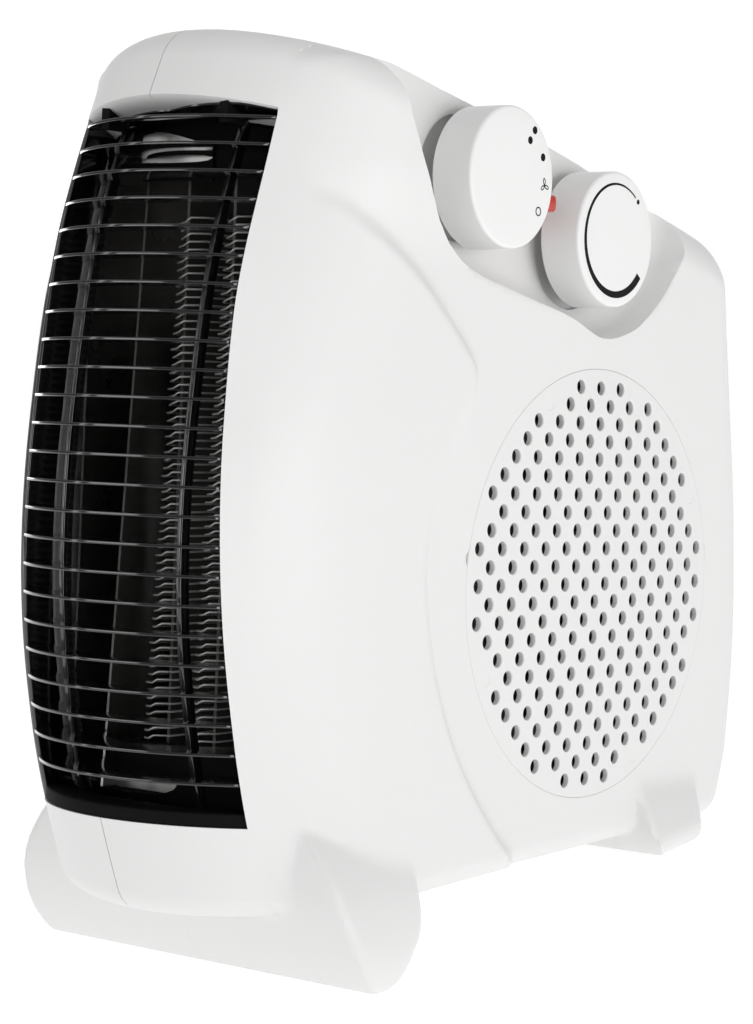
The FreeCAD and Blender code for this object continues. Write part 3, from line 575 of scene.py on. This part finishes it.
def outlet_grille():
    p, q = Pile(), Pile()

    def slat(z, t, off, depth, r0, more=0.0, to=p):
        half = float(x_open(np.array(z))) - 0.35
        rings = []
        for k in range(49):
            x = -half + 2 * half * k / 48
            deep = depth + more * min(1.0, ((x - 2.0) / 24.0) ** 2) * sstep((half - abs(x)) / 6.0)
            prof = round_bar(t, float(deep), r0, min(0.25, t * 0.3))
            rings.append([(x, arc_y(x, z) + off + a, z + b) for a, b in prof])
        to.add(*loft(rings))

    for k in range(24):
        end = k < 3 or k > 21
        slat(123.5 - 7.40 * k - 0.0098 * k * k, 0.8, 0.8, 5.0 if k == 0 else 14.5 if end else 11.2, 0.14, 8.0 if end and k else 0.0)

    slat(-61.55, 3.7, 1.0, 11.4, 0.6, to=q)

    def rail(sg):
        off, depth = (1.0, 10.6) if sg < 0 else (8.4, 3.2)
        prof = round_bar(1.6, depth, 0.4, 0.3)
        rings = []
        for k in range(41):
            z = -62.6 + (124.0 + 62.6) * k / 40
            x = float(x_open(np.array(z))) - 1.2
            rings.append([(sg * x + b, arc_y(x, z) + off + a, z) for a, b in prof])
        p.add(*loft(rings[::-1]))

    def rib(x):
        prof = round_bar(1.7, 3.6, 0.5, 0.3)
        rings = []
        for k in range(41):
            z = -62.6 + (127.6 + 62.6) * k / 40
            rings.append([(x + b, arc_y(x, z) + 11.0 + a, z) for a, b in prof])
        p.add(*loft(rings[::-1]))

    def tab(x):
        """a rib's upper end, let into the edge over the outlet"""
        rings = []
        for d in (1.6, 9.0):
            y, top = arc_y(x, 128.0) + d, 129.6 - 3.6 * (x / 36.0) ** 2 - 0.40 * d + 0.3
            rings.append([(x - 1.4, y, 122.0), (x + 1.4, y, 122.0), (x + 1.4, y, top), (x - 1.4, y, top)])
        q.add(*loft(rings[::-1]))

    def lining_with_painted_shade():
        """black lining under the edge over the outlet; its slanted front edge leaves the bare lip showing at the left
        and covers the right part in black as painted shade
        """
        rings = []
        half = float(x_open(np.array(127.0))) - 0.4
        for k in range(41):
            x = -half + 2 * half * k / 40
            y0, z0 = arc_y(x, 128.0), 129.6 - 3.6 * (x / 36.0) ** 2 - 0.15
            # painted shade: the front edge steps back from 1 to 7.5 mm towards -X, so the black stands in for the
            # shadow over the right part of the lip
            d = 1.0 + 6.5 * min(1.0, max(0.0, (26.0 - x) / 24.0))
            rings.append([(x, y0 + d, z0 - 0.4 * d), (x, y0 + d, z0 - 0.4 * d - 0.5), (x, y0 + 13.4, z0 - 5.9), (x, y0 + 13.4, z0 - 5.36)])
        p.add(*loft(rings))

    def shade_sheet(outline, y=-122.0):
        """a flat black sheet behind the slats: painted shade that blacks out the outlet's interior round the bright
        plates
        """
        q.add(*loft([[(x, y, z) for x, z in outline], [(x, y - 0.6, z) for x, z in outline]]))

    lining_with_painted_shade()
    # painted shade: black sheets leave only lens-shaped gaps where the plates behind the slats show
    shade_sheet([(-36, 127.0), (36, 127.0), (36, 109.5), (3.8, 109.5), (3.6, 116.5), (3.5, 118.0), (-2.8, 119.9), (-8.1, 121.3), (-13.4, 122.5),
            (-18.3, 123.0), (-22.8, 122.3), (-26.2, 120.9), (-28.5, 119.7), (-36, 119.0)])
    shade_sheet([(-36, -46), (36, -46), (36, -63), (-36, -63), (-36, -59.0), (-34.9, -58.7), (-30.9, -59.9), (-25, -60.8), (-18.8, -61.1),
            (-12, -60.9), (-4.9, -59.9), (-1.6, -58.6), (-0.5, -57.4), (-0.3, -55.2), (-36, -55.2)])
    shade_sheet([(-35.1, 118.5), (-28.1, 119.1), (-20.9, 119.3), (-11.5, 119.2), (-0.3, 118.8), (4.4, 118.4), (4.6, 115.1),
            (0.5, 115.8), (-6.9, 116.1), (-14.4, 116.1), (-22, 115.7), (-27.7, 114.9), (-34.9, 114.8)], -122.8)
    shade_sheet([(-34.9, 114.6), (-27.6, 114.5), (-18.7, 114.3), (-9.3, 114), (-0.8, 114), (2.8, 114.3), (4.6, 114.9), (5, 108.6), (-34.6, 109.8)], -122.8)
    for sg in (-1, 1):
        rail(sg)
        rib(sg * 21.5)
        tab(sg * 21.5)
    add("outlet_grille_bars", p.verts(), p.f, "casing", BLACK, ("outlet_grille",), sharp=50.0)
    # the bottom bar, the rib tabs and the black sheets of painted shade
    add("outlet_bar_tabs_and_shade_sheets", q.verts(), q.f, "casing", MATTE, sharp=30.0)


outlet_grille()


# ------------------------------------------------------------------ intake disc
HOLE_ROWS = {11: (-2, 2), 10: (-3, 5), 9: (-6, 6), 8: (-7, 7), 7: (-8, 8), 6: (-9, 9), 5: (-10, 8), 4: (-9, 9), 3: (-10, 10),
             2: (-11, 11), 1: (-10, 10), 0: (-11, 11), -1: (-10, 10), -2: (-11, 11), -3: (-10, 10), -4: (-9, 9), -5: (-8, 10),
             -6: (-9, 9), -7: (-8, 8), -8: (-7, 7), -9: (-6, 6), -10: (-5, 3), -11: (-2, 2)}
DISC_POSTS = [(-5, 10), (10, 5), (5, -10), (-10, -5)]


def intake_disc():
    R, HR, SEG, BEV = 63.98, 2.08, 24, 0.22
    holes = [(i * Q, j * Q) for j, (a, b) in HOLE_ROWS.items() for i in range(a, b + 1) if (i + j) % 2]
    posts = [(i * Q, j * Q) for i, j in DISC_POSTS]

    def dome(y, z):
        return 52.6 + 1.0 * (1 - np.minimum(np.hypot(y, z) / 62.0, 1.0) ** 2)

    pts, edges, rings = [], [], []

    def circle(cy, cz, r, n):
        s = len(pts)
        for k in range(n):
            a = 2 * math.pi * (k + 0.5) / n
            pts.append(Vector((cy + r * math.cos(a), cz + r * math.sin(a))))
        edges.extend((s + k, s + (k + 1) % n) for k in range(n))
        return list(range(s, s + n))

    rim = circle(0, 0, R - 0.15, 180)
    for y, z in holes:
        rings.append(circle(y, z, HR + BEV, SEG))
    marks = [circle(y, z, 2.3, SEG) for y, z in posts]
    out = delaunay_2d_cdt(pts, edges, [], 0, 1e-6)
    v2 = np.array([tuple(p) for p in out[0]])
    tri = [list(t) for t in out[2]]
    keep = []
    centres = np.array(holes + posts)
    lim = np.array([HR + BEV] * len(holes) + [2.3] * len(posts)) - 0.02
    c = np.array([v2[t].mean(0) for t in tri])
    for t, m in zip(tri, c):
        d = np.hypot(*(centres - m).T)
        if np.hypot(*m) < R - 0.15 and not (d < lim).any():
            keep.append(t)
    orig = {}
    for i, o in enumerate(out[3]):
        for k in o:
            orig[k] = i
    V, F = [], []

    def put(x, y, z):
        V.append((x, y, z))
        return len(V) - 1

    top = [put(float(dome(y, z)), y, z) for y, z in v2]
    bot = [put(float(dome(y, z)) - 1.8, y, z) for y, z in v2]

    def area(t):
        (a, b), (c2, d), (e, f) = v2[t[0]], v2[t[1]], v2[t[2]]
        return (c2 - a) * (f - b) - (e - a) * (d - b)

    for t in keep:
        t = t if area(t) > 0 else t[::-1]
        F.append([top[i] for i in t])
        F.append([bot[i] for i in t[::-1]])

    def band(a, b):
        for k in range(len(a)):
            l = (k + 1) % len(a)
            F.append([a[k], a[l], b[l], b[k]])

    for (cy, cz), ring in zip(holes, rings):
        ring = [orig[k] for k in ring]
        t0 = [top[k] for k in ring]
        b0 = [bot[k] for k in ring]
        mid = []
        low = []
        for k in ring:
            y, z = v2[k]
            dy, dz = (y - cy) * HR / (HR + BEV), (z - cz) * HR / (HR + BEV)
            x = float(dome(cy, cz))
            mid.append(put(x - BEV, cy + dy, cz + dz))
            low.append(put(x - 1.8, cy + dy, cz + dz))
        band(mid, t0)
        band(low, mid)
        band(b0, low)
    for (cy, cz), ring in zip(posts, marks):
        ring = [orig[k] for k in ring]
        t0 = [top[k] for k in ring]
        b0 = [bot[k] for k in ring]
        mid = []
        for k in ring:
            y, z = v2[k]
            mid.append(put(float(dome(cy, cz)) - 0.14, cy + (y - cy) * 0.9, cz + (z - cz) * 0.9))
        band(mid, t0)
        F.append(mid)
        low = [put(44.4, *v2[k]) for k in ring]
        band(b0, low)
        F.append(low[::-1])
    ring = [orig[k] for k in rim]
    edge = [put(float(dome(*v2[k])) - 0.13, *(v2[k] * R / (R - 0.15))) for k in ring]
    under = [put(50.95, *(v2[k] * R / (R - 0.15))) for k in ring]
    band([top[k] for k in ring], edge)
    band(edge, under)
    band(under, [bot[k] for k in ring])
    add("intake_disc", V, F, "casing", WHITE, ("intake_grille",), sharp=30.0)


intake_disc()

# ------------------------------------------------------------------ knobs and printed marks
KNOB_R, FACE, BACK = 20.2, 56.5, 43.2


def knob(name, node, axis, body_name):
    prof = [(FACE - 3.0, 0.0), (FACE - 3.0, 17.4), (BACK + 0.2, 17.6), (BACK, 17.8), (BACK, KNOB_R - 0.35), (BACK + 0.35, KNOB_R)]
    for k in range(7):
        prof.append((BACK + 0.35 + (FACE - 1.1 - BACK - 0.35) * (k + 1) / 8, KNOB_R - 0.02 * k))
    r = KNOB_R - 0.15
    for k in range(7):
        a = math.radians(90.0 * k / 6)
        prof.append((FACE - 1.0 + math.sin(a), r - 1.0 + math.cos(a)))
    prof += [(FACE + 0.02, 14.0), (FACE + 0.03, 7.0), (FACE + 0.03, 0.0)]
    v, f = lathe_x(prof, *axis)
    return add(name, v, f, body_name, KNOB_WHITE, (node,), sharp=40.0)


knob("switch_knob_cap", "switch_knob", K1, "switch_dial")
knob("thermostat_knob_cap", "thermostat_knob", K2, "thermostat_dial")


def printed(name, loops, body_name):
    """flat ink marks on a knob's face: loops are (outer, inner or None), points in (y, z)"""
    p = Pile()
    x0, x1 = FACE - 0.02, FACE + 0.07
    for outer, inner in loops:
        n = len(outer)
        if inner is None:
            p.add(*loft([[(x0, y, z) for y, z in outer], [(x1, y, z) for y, z in outer]]))
        else:
            v = [(x0, y, z) for y, z in outer] + [(x1, y, z) for y, z in outer] + [(x0, y, z) for y, z in inner] + [(x1, y, z) for y, z in inner]
            f = []
            for k in range(n):
                l = (k + 1) % n
                f += [[k, l, n + l, n + k], [n + k, n + l, 3 * n + l, 3 * n + k], [3 * n + k, 3 * n + l, 2 * n + l, 2 * n + k],
                      [2 * n + k, 2 * n + l, l, k]]
            p.add(v, f)
    return add(name, p.verts(), p.f, body_name, INK, sharp=30.0)


def disc_loop(c, r, n=28, sy=1.0, sz=1.0, turn=0.0):
    out = []
    for k in range(n):
        a = 2 * math.pi * k / n
        y, z = r * sy * math.cos(a), r * sz * math.sin(a)
        out.append((c[0] + y * math.cos(turn) - z * math.sin(turn), c[1] + y * math.sin(turn) + z * math.cos(turn)))
    return out


def polar(axis, r, deg):
    a = math.radians(deg)
    return axis[0] + r * math.cos(a), axis[1] + r * math.sin(a)


def switch_marks():
    loops = []
    c = polar(K1, 15.5, -33)
    loops.append((disc_loop(c, 1.35), disc_loop(c, 0.98)))
    loops.append((disc_loop(polar(K1, 15.9, 26.3), 1.12), None))
    loops.append((disc_loop(polar(K1, 17.2, 55.6), 1.12), None))
    loops.append((disc_loop(polar(K1, 13.5, 55.6), 1.12), None))
    c = polar(K1, 15.6, -3)
    for k in range(3):                        # a plain three-blade fan
        t = math.radians(100 + 120 * k)
        m = (c[0] + 1.15 * math.cos(t), c[1] + 1.15 * math.sin(t))
        loops.append((disc_loop(m, 1.0, 20, 1.0, 0.62, t), disc_loop(m, 0.68, 20, 1.0, 0.48, t)))
    loops.append((disc_loop(c, 0.32, 12), None))
    printed("switch_marks", loops, "switch_dial")


def thermostat_marks():
    n = 90
    outer, inner = [], []
    for k in range(n + 1):
        t = k / n
        w = 0.42 + 2.0 * t ** 1.1
        outer.append(polar(K2, 16.35 + w / 2, 54 + 269 * t))
        inner.append(polar(K2, 16.35 - w / 2, 54 + 269 * t))
    p = Pile()
    rings = [[(FACE - 0.02, *i), (FACE - 0.02, *o), (FACE + 0.07, *o), (FACE + 0.07, *i)] for o, i in zip(outer, inner)]
    p.add(*loft(rings))
    dot = disc_loop(polar(K2, 16.4, 47.6), 0.75, 20)
    p.add(*loft([[(FACE - 0.02, y, z) for y, z in dot], [(FACE + 0.07, y, z) for y, z in dot]]))
    add("thermostat_marks", p.verts(), p.f, "thermostat_dial", INK, sharp=30.0)


switch_marks()
thermostat_marks()


# ------------------------------------------------------------------ pilot lamp
def pilot_lens():
    cy, cz, a, b = -29.3, 110.7, 3.2, 2.5

    def ring(x, d, r):
        out = []
        for k, (sy, sz) in enumerate(((1, 1), (-1, 1), (-1, -1), (1, -1))):
            for i in range(7):
                t = math.radians(90 * k + 15 * i)
                out.append((x, cy + sy * (a - d - r) + r * math.cos(t), cz + sz * (b - d - r) + r * math.sin(t)))
        return out

    rings = [ring(34.2, 0.0, 1.2), ring(50.6, 0.0, 1.2)]
    for k in range(1, 6):
        t = math.radians(18 * k)
        rings.append(ring(50.6 + 1.4 * math.sin(t), 1.4 * (1 - math.cos(t)) * 0.8, 1.0))
    v, f = loft(rings)
    add("pilot_lens_cap", v, f, "casing", RED, ("pilot_lens",), sharp=40.0)


pilot_lens()


# ------------------------------------------------------------------ heating coils
def heating_coil(name, node, x, phase):
    """resistance wire wound round its board, a slightly uneven flat helix"""
    pts = []
    turns, pitch, z0 = 66, 2.2, -45.0
    for k in range(turns):
        j = 0.55 * math.sin(k * 2.4 + phase) + 0.35 * math.sin(k * 5.1 + 2 * phase)
        i = 0.5 * math.sin(k * 3.7 + phase)
        z = z0 + pitch * k
        y = -120.6 + 0.05 * (z - 50.0)
        pts += [(x - 4.6 + 0.4 * j, y + 1.6 + 0.3 * j, z), (x - 1.0, y - 0.7 + 0.2 * i, z + 0.25 + 0.1 * j),
                (x + 1.0, y - 0.7 + 0.2 * j, z + 1.25 + 0.1 * i), (x + 5.0 + 0.4 * i, y + 1.6 + 0.3 * i, z + 1.35),
                (x + 5.2, -98.4 + 0.2 * j, z + 1.7), (x - 5.2, -98.4 + 0.2 * i, z + 1.95)]
    pts = place(np.array(pts))
    cu = bpy.data.curves.new(name, "CURVE")
    cu.dimensions = "3D"
    s = cu.splines.new("POLY")
    s.points.add(len(pts) - 1)
    for q, p in zip(s.points, pts):
        q.co = (*p, 1)
    cu.bevel_depth = 0.0003
    cu.bevel_resolution = 1
    cu.use_fill_caps = True
    tmp = bpy.data.objects.new(name + "_path", cu)
    scene.collection.objects.link(tmp)
    bpy.context.view_layer.update()
    me = bpy.data.meshes.new_from_object(tmp.evaluated_get(bpy.context.evaluated_depsgraph_get()))
    bpy.data.objects.remove(tmp)
    me.name = name
    me.materials.clear()
    me.materials.append(WIRE)
    me.shade_smooth()
    ob = bpy.data.objects.new(name, me)
    scene.collection.objects.link(ob)
    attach(ob, "casing")
    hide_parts(node)


heating_coil("heating_coil_low_winding", "heating_coil_low", -7.5, 0.3)
heating_coil("heating_coil_high_winding", "heating_coil_high", 9.5, 1.7)


# ------------------------------------------------------------------ floor, light
def stage():
    m = material("floor_white", (0.86, 0.86, 0.86), 0.6, var=0.004, var_scale=3.0, rough_var=0.02, spec=0.2)
    e = m.node_tree.nodes["Principled BSDF"]
    e.inputs["Emission Color"].default_value = (1, 1, 1, 1)
    e.inputs["Emission Strength"].default_value = 0.44
    me = bpy.data.meshes.new("floor")
    s = 14.0
    me.from_pydata([(-s, -s, -0.0002), (s, -s, -0.0002), (s, s, -0.0002), (-s, s, -0.0002)], [], [[0, 1, 2, 3]])
    me.materials.append(m)
    ob = bpy.data.objects.new("floor", me)
    scene.collection.objects.link(ob)
    # a plain studio, softer at eye level than overhead, with a white backdrop behind the heater
    w = bpy.data.worlds.new("studio")
    scene.world = w
    w.use_nodes = True
    nt = w.node_tree
    bg = nt.nodes["Background"]
    bg.inputs["Color"].default_value = (1, 1, 1, 1)
    tc = nt.nodes.new("ShaderNodeTexCoord")
    sep = nt.nodes.new("ShaderNodeSeparateXYZ")
    mr = nt.nodes.new("ShaderNodeMapRange")
    mr.inputs["From Min"].default_value, mr.inputs["From Max"].default_value = 0.15, 0.60
    mr.inputs["To Min"].default_value, mr.inputs["To Max"].default_value = 0.175, 0.67
    nt.links.new(tc.outputs["Generated"], sep.inputs["Vector"])
    nt.links.new(sep.outputs["Z"], mr.inputs["Value"])
    dot = nt.nodes.new("ShaderNodeVectorMath")
    dot.operation = "DOT_PRODUCT"
    dot.inputs[1].default_value = (-0.616, 0.787, 0.03)
    nt.links.new(tc.outputs["Generated"], dot.inputs[0])
    patch = nt.nodes.new("ShaderNodeMapRange")
    patch.inputs["From Min"].default_value, patch.inputs["From Max"].default_value = 0.86, 0.95
    nt.links.new(dot.outputs["Value"], patch.inputs["Value"])
    mix = nt.nodes.new("ShaderNodeMix")
    mix.inputs["B"].default_value = 1.10
    nt.links.new(patch.outputs["Result"], mix.inputs["Factor"])
    nt.links.new(mr.outputs["Result"], mix.inputs["A"])
    nt.links.new(mix.outputs["Result"], bg.inputs["Strength"])

    def area(name, az, el, dist, size, power):
        a, b = math.radians(az), math.radians(el)
        aim = Vector((0.0, 0.0, 0.13))
        loc = aim + dist * Vector((math.sin(a) * math.cos(b), -math.cos(a) * math.cos(b), math.sin(b)))
        l = bpy.data.lights.new(name, "AREA")
        l.shape = "RECTANGLE"
        l.size, l.size_y = size
        l.energy = power
        o = bpy.data.objects.new(name, l)
        scene.collection.objects.link(o)
        o.location = loc
        o.rotation_euler = (aim - loc).to_track_quat("-Z", "Y").to_euler()

    area("side_key", 82, 4, 1.1, (0.9, 0.4), 3.9)
    area("front_strip", -19, 8, 1.6, (1.0, 0.38), 3.0)
    area("tall_strip", -45.5, 6, 1.6, (0.12, 1.7), 1.5)
    area("left_strip", -108, 2, 1.5, (0.6, 0.24), 1.2)


stage()
scene.view_settings.view_transform = "Standard"
scene.view_settings.look = "None"
